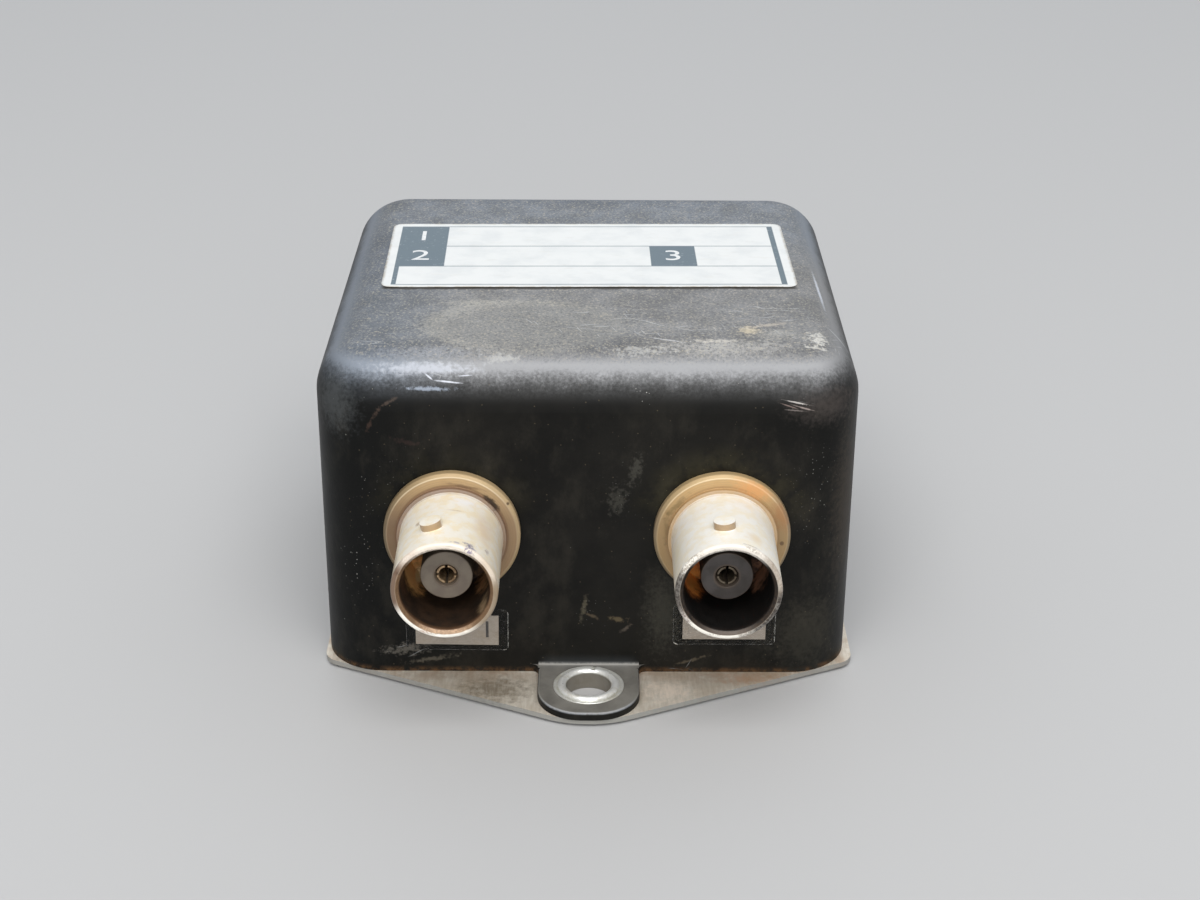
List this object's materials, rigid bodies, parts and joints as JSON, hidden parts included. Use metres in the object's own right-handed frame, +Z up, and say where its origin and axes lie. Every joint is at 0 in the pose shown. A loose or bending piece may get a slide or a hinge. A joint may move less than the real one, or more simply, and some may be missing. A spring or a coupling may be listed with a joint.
{
  "type": "dual port coupler",
  "caption": "Moulded coupler block on a thin base plate with riveted mounting ears and bayonet coaxial jacks on its front face.",
  "frame": {"origin": "on the seating plane under the eyelets' flanges, midway between the two mounting holes", "axes": "+X to the right as the jacks face the viewer, +Y from the front face to the rear, +Z up out of the seating plane"},
  "size_m": [0.0518, 0.0712, 0.0336],
  "materials": {
    "moulding": "satin black, dusty above, scuffed along the top edges",
    "plate_metal": "dull tinned sheet with a brighter cut edge",
    "eyelet_metal": "bright tin plate with dark pits",
    "jack_metal": "aged silver plate, tarnished cream and tan",
    "light_insulator": "warm grey, dull",
    "dark_insulator": "dark purple grey, dull",
    "contact_metal": "worn gold plate",
    "tinned_brass": "dull tin plate",
    "spring_steel": "zinc plate",
    "nut_metal": "dull nickel plate",
    "board": "green lacquer",
    "ferrite": "dull dark grey",
    "enamelled_wire": "clear enamel over copper",
    "resistor_body": "lacquer",
    "capacitor_body": "dipped resin",
    "nameplate_foil": "printed white, satin",
    "slip_paper": "aged grey",
    "clear_film": "clear"
  },
  "bodies": {
    "root": {"housing": "moulding", "base_plate": "plate_metal", "front_eyelet": "eyelet_metal", "rear_eyelet": "eyelet_metal", "left_jack_shell": "jack_metal", "right_jack_shell": "jack_metal", "left_insulator": "light_insulator", "right_insulator": "dark_insulator", "left_contact": "contact_metal", "right_contact": "contact_metal", "left_solder_tag": "tinned_brass", "right_solder_tag": "tinned_brass", "left_lock_washer": "spring_steel", "right_lock_washer": "spring_steel", "left_jack_nut": "nut_metal", "right_jack_nut": "nut_metal", "circuit_board": "board", "board_screws": "spring_steel", "ring_core": "ferrite", "core_winding": "enamelled_wire", "balance_resistor": "resistor_body", "left_capacitor": "capacitor_body", "right_capacitor": "capacitor_body", "left_port_lead": "tinned_brass", "right_port_lead": "tinned_brass", "left_ground_lead": "tinned_brass", "right_ground_lead": "tinned_brass", "nameplate": "nameplate_foil", "left_port_slip": "slip_paper", "right_port_slip": "slip_paper", "left_slip_film": "clear_film", "right_slip_film": "clear_film"}
  },
  "joints": []
}
